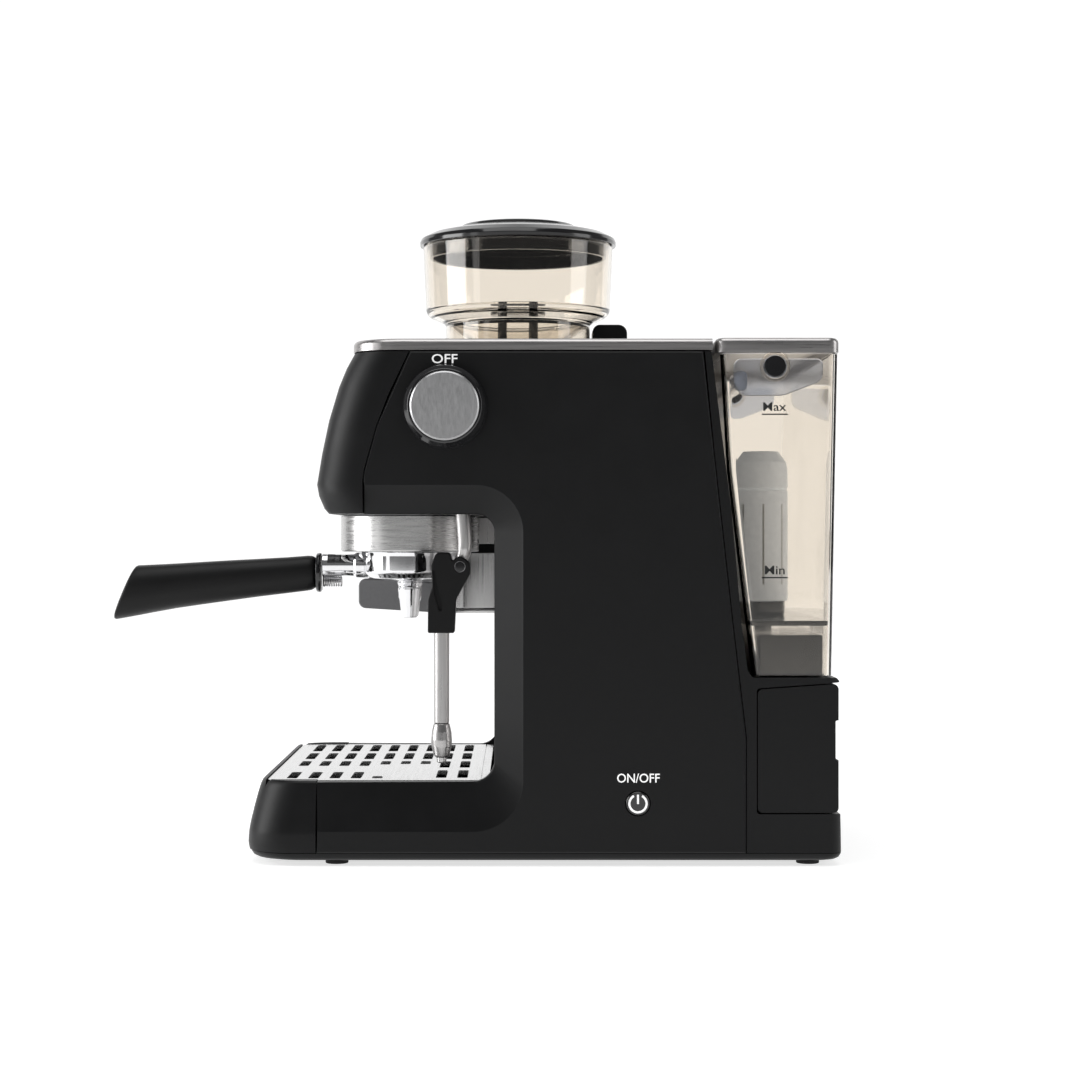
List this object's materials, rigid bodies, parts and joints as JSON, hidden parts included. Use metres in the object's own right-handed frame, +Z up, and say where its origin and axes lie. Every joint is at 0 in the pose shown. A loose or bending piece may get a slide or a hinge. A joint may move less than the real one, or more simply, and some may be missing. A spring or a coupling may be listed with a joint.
{
  "type": "espresso machine",
  "caption": "Free-standing espresso machine with a bean grinder, side steam knob and wand, drip tray and rear water tank.",
  "frame": {"origin": "centre of the whole machine's box, on the worktop", "axes": "+X to the user's right, +Y to the back, +Z up; the handle points to -Y"},
  "size_m": [0.301, 0.4582, 0.4176],
  "materials": {
    "black_plastic": "fine satin texture",
    "gloss_black": "gloss",
    "brushed_steel": "brushed",
    "chrome": "polished",
    "rubber": "matt",
    "clear_plastic": "clear with a warm smoky tint",
    "blue_plastic": "translucent",
    "white_plastic": "satin",
    "cast_metal": "cast",
    "brass": "turned",
    "needle_red": "satin"
  },
  "bodies": {
    "machine": {"base_plate": "black_plastic", "foot_front_right": "rubber", "foot_front_left": "rubber", "foot_rear_right": "rubber", "foot_rear_left": "rubber", "right_side_cover": "black_plastic", "left_side_cover": "black_plastic", "head_front_cover": "black_plastic", "column_front_panel": "brushed_steel", "head_underside_panel": "black_plastic", "rear_housing": "black_plastic", "top_plate": "brushed_steel", "inner_frame": "cast_metal", "group_collar": "brushed_steel", "group_head": "cast_metal", "group_gasket": "rubber", "shower_screen": "brushed_steel", "boiler": "cast_metal", "pump": "brass", "grinder_motor": "cast_metal", "grinder_housing": "gloss_black", "grinder_outlet": "brushed_steel", "portafilter_cradle": "brushed_steel", "steam_valve": "brass", "power_inlet": "black_plastic", "tank_seat": "black_plastic", "gauge_case": "brushed_steel", "gauge_lens": "clear_plastic"},
    "portafilter": {"portafilter_body": "chrome", "filter_basket": "brushed_steel", "portafilter_spout": "chrome", "portafilter_handle": "black_plastic", "handle_ferrule": "black_plastic"},
    "steam_arm": {"steam_pipe": "chrome"},
    "steam_wand": {"steam_grip": "black_plastic", "steam_tube": "brushed_steel", "steam_nozzle": "brushed_steel"},
    "knob": {"steam_knob": "gloss_black", "knob_cap": "brushed_steel"},
    "power": {"power_button": "gloss_black"},
    "one_cup": {"one_cup_button": "brushed_steel"},
    "two_cup": {"two_cup_button": "brushed_steel"},
    "grind": {"grind_button": "brushed_steel"},
    "needle": {"gauge_needle": "needle_red"},
    "bean_hopper": {"hopper": "clear_plastic", "hopper_guard": "gloss_black", "upper_burr": "cast_metal"},
    "bean_lid": {"hopper_lid": "gloss_black"},
    "lock": {"hopper_lock": "black_plastic"},
    "burr_drive": {"inner_burr": "cast_metal", "burr_gear": "brass"},
    "motor_rotor": {"motor_pinion": "cast_metal"},
    "tank": {"water_tank": "clear_plastic", "filter_cartridge": "white_plastic"},
    "tank_cover": {"tank_lid": "brushed_steel"},
    "tank_bail": {"tank_handle": "blue_plastic"},
    "tray": {"drip_tray": "black_plastic", "tray_front_cover": "black_plastic"},
    "grill": {"drip_grill": "brushed_steel"},
    "drawer": {"storage_drawer": "black_plastic"}
  },
  "joints": [
    {"name": "portafilter_turn", "type": "hinge", "parent": "machine", "child": "portafilter", "pos_m": [0.0275, -0.03752, 0.18], "axis": [0, 0, -1], "range_deg": [0, 45]},
    {"name": "steam_arm_swivel", "type": "hinge", "parent": "machine", "child": "steam_arm", "pos_m": [0.0945, -0.00172, 0.21], "axis": [0, 0, 1], "range_deg": [0, 60]},
    {"name": "steam_wand_tilt", "type": "hinge", "parent": "steam_arm", "child": "steam_wand", "pos_m": [0.0945, -0.00352, 0.1803], "axis": [-1, 0, 0], "range_deg": [0, 35]},
    {"name": "steam_knob_turn", "type": "hinge", "parent": "machine", "child": "knob", "pos_m": [0.1295, -0.01142, 0.2766], "axis": [1, 0, 0], "range_deg": [0, 90]},
    {"name": "power_button_press", "type": "slide", "parent": "machine", "child": "power", "axis": [-1, 0, 0], "range_m": [0, 0.0025], "stiffness_N_per_m": 600, "springref_m": -0.001},
    {"name": "one_cup_button_press", "type": "slide", "parent": "machine", "child": "one_cup", "axis": [0, 0.9781, -0.2079], "range_m": [0, 0.002], "stiffness_N_per_m": 600, "springref_m": -0.001},
    {"name": "two_cup_button_press", "type": "slide", "parent": "machine", "child": "two_cup", "axis": [0, 0.9781, -0.2079], "range_m": [0, 0.002], "stiffness_N_per_m": 600, "springref_m": -0.001},
    {"name": "grind_button_press", "type": "slide", "parent": "machine", "child": "grind", "axis": [0, 0.9781, -0.2079], "range_m": [0, 0.002], "stiffness_N_per_m": 600, "springref_m": -0.001},
    {"name": "gauge_needle_turn", "type": "hinge", "parent": "machine", "child": "needle", "pos_m": [-0.0105, -0.08505, 0.266], "axis": [0, 0.9781, -0.2079], "range_deg": [0, 270]},
    {"name": "hopper_turn", "type": "hinge", "parent": "machine", "child": "bean_hopper", "pos_m": [-0.0705, 0.03218, 0.33], "axis": [0, 0, 1], "range_deg": [-25, 25]},
    {"name": "hopper_lid_lift", "type": "slide", "parent": "bean_hopper", "child": "bean_lid", "axis": [0, 0, 1], "range_m": [0, 0.06]},
    {"name": "hopper_lock_press", "type": "slide", "parent": "machine", "child": "lock", "axis": [0, 0, -1], "range_m": [0, 0.003], "stiffness_N_per_m": 1200, "springref_m": -0.001},
    {"name": "burr_spin", "type": "hinge", "parent": "machine", "child": "burr_drive", "pos_m": [-0.0705, 0.03218, 0.25], "axis": [0, 0, 1], "continuous": true},
    {"name": "motor_spin", "type": "hinge", "parent": "machine", "child": "motor_rotor", "pos_m": [-0.0705, 0.06218, 0.215], "axis": [0, 0, 1], "continuous": true},
    {"name": "tank_lift", "type": "slide", "parent": "machine", "child": "tank", "axis": [0, 0, 1], "range_m": [0, 0.22]},
    {"name": "tank_lid_turn", "type": "hinge", "parent": "tank", "child": "tank_cover", "pos_m": [-0.0105, 0.22638, 0.3096], "axis": [-1, 0, 0], "range_deg": [0, 100]},
    {"name": "tank_handle_turn", "type": "hinge", "parent": "tank", "child": "tank_bail", "pos_m": [-0.0105, 0.18738, 0.3015], "axis": [-1, 0, 0], "range_deg": [0, 90]},
    {"name": "drip_tray_slide", "type": "slide", "parent": "machine", "child": "tray", "axis": [0, -1, 0], "range_m": [0, 0.19]},
    {"name": "drip_grill_lift", "type": "slide", "parent": "tray", "child": "grill", "axis": [0, 0, 1], "range_m": [0, 0.006]},
    {"name": "storage_drawer_slide", "type": "slide", "parent": "machine", "child": "drawer", "axis": [0, 1, 0], "range_m": [0, 0.06]}
  ],
  "couplings": [
    {"joint": "motor_spin", "follows": "burr_spin", "ratio": -2},
    {"joint": "tank_handle_turn", "follows": "tank_lid_turn", "ratio": 0.9}
  ]
}
